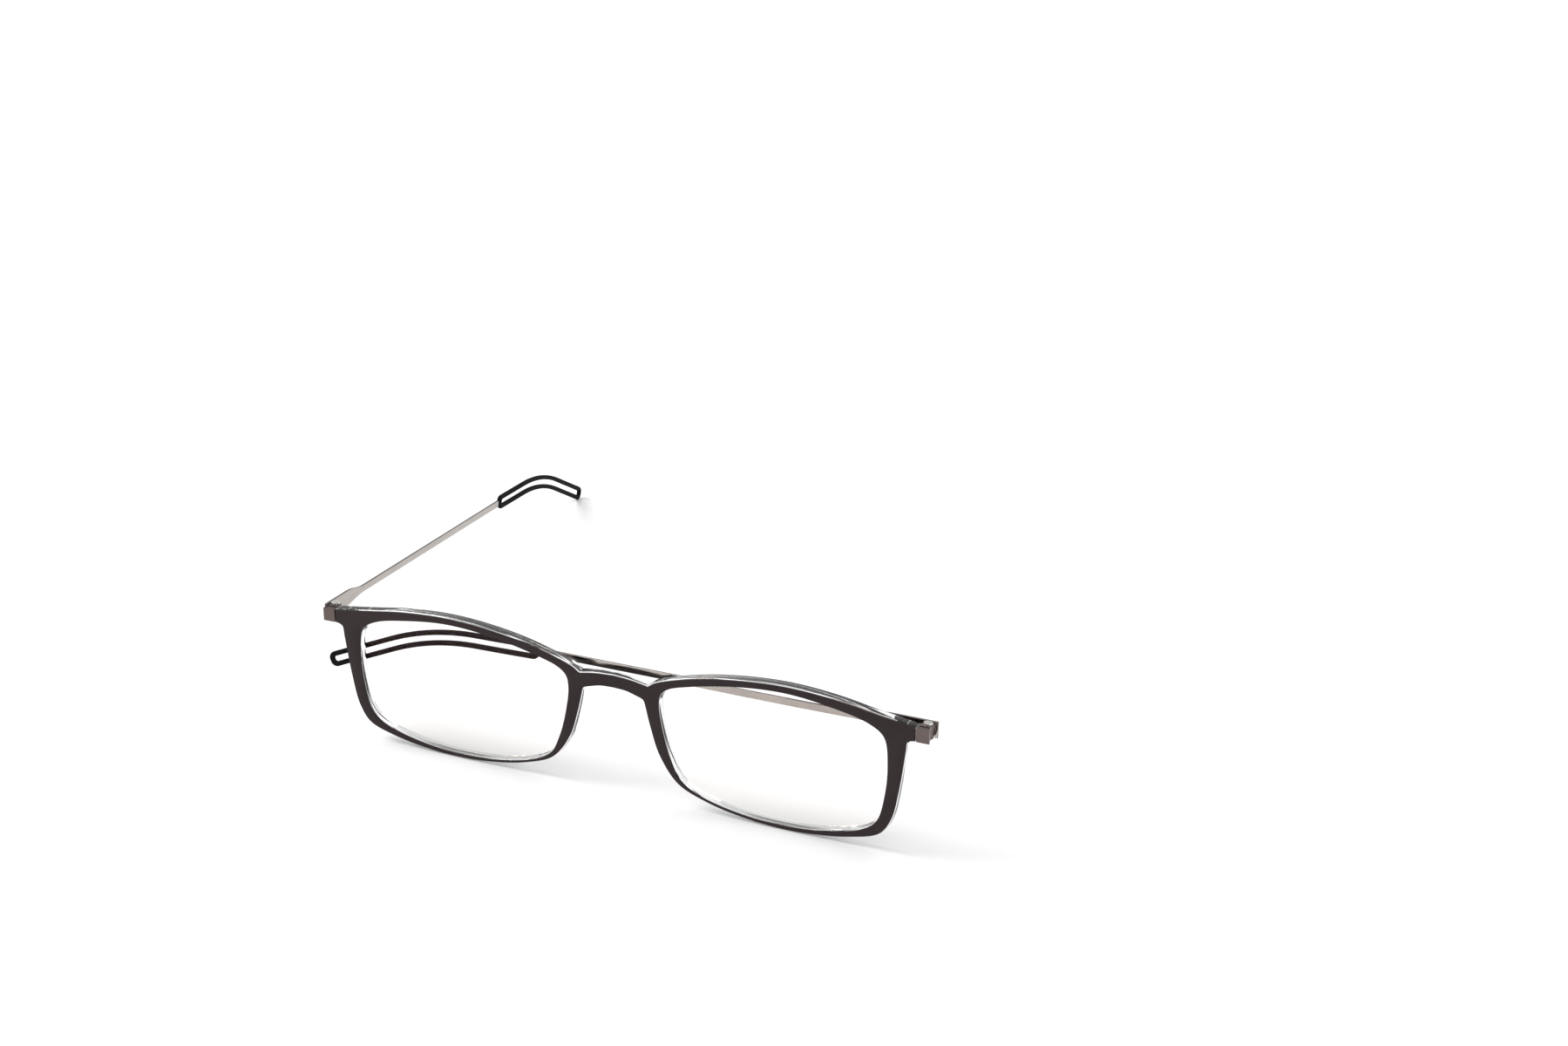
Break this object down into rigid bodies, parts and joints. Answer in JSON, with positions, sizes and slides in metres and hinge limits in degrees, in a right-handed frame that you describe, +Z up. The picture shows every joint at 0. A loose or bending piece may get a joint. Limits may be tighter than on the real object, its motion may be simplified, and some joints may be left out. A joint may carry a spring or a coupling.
{
  "type": "folding reading glasses",
  "caption": "Slim full-rim reading glasses with a flat dark front on a clear carrier, fold-flat steel arms on screwed hinges and open rubber loop tips.",
  "frame": {"origin": "middle of the footprint of the built pose (right arm open, left arm folded), on the surface that the glasses stand on", "axes": "+X across the front towards the wearer's left side, +Y from the front face back to the open arm's tip, +Z up"},
  "size_m": [0.1538, 0.1394, 0.0325],
  "materials": {
    "dark_face": "satin brown-black face layer",
    "clear_carrier": "clear polished polycarbonate",
    "lens": "clear coated lens",
    "hinge_metal": "satin gunmetal steel",
    "screw_metal": "polished steel",
    "nylon": "natural nylon",
    "arm_steel": "satin warm-grey stainless strip",
    "tip_rubber": "soft black rubber"
  },
  "bodies": {
    "front": {"front_face": "dark_face", "front_carrier": "clear_carrier", "right_lens": "lens", "left_lens": "lens", "right_hinge_block": "hinge_metal", "right_tang_screw": "screw_metal", "right_hinge_screw": "screw_metal", "right_upper_washer": "nylon", "right_lower_washer": "nylon", "left_hinge_block": "hinge_metal", "left_tang_screw": "screw_metal", "left_hinge_screw": "screw_metal", "left_upper_washer": "nylon", "left_lower_washer": "nylon"},
    "right_arm": {"right_arm_knuckle": "hinge_metal", "right_arm_strip": "arm_steel", "right_tip_loop": "tip_rubber"},
    "left_arm": {"left_arm_knuckle": "hinge_metal", "left_arm_strip": "arm_steel", "left_tip_loop": "tip_rubber"}
  },
  "joints": [
    {"name": "right_arm_fold", "type": "hinge", "parent": "front", "child": "right_arm", "pos_m": [-0.06154, -0.06699, 0.02766], "axis": [0, -0.1037, -0.9946], "range_deg": [0, 92.5]},
    {"name": "left_arm_unfold", "type": "hinge", "parent": "front", "child": "left_arm", "pos_m": [0.07536, -0.06699, 0.02766], "axis": [0, -0.1037, -0.9946], "range_deg": [0, 95.5]}
  ]
}
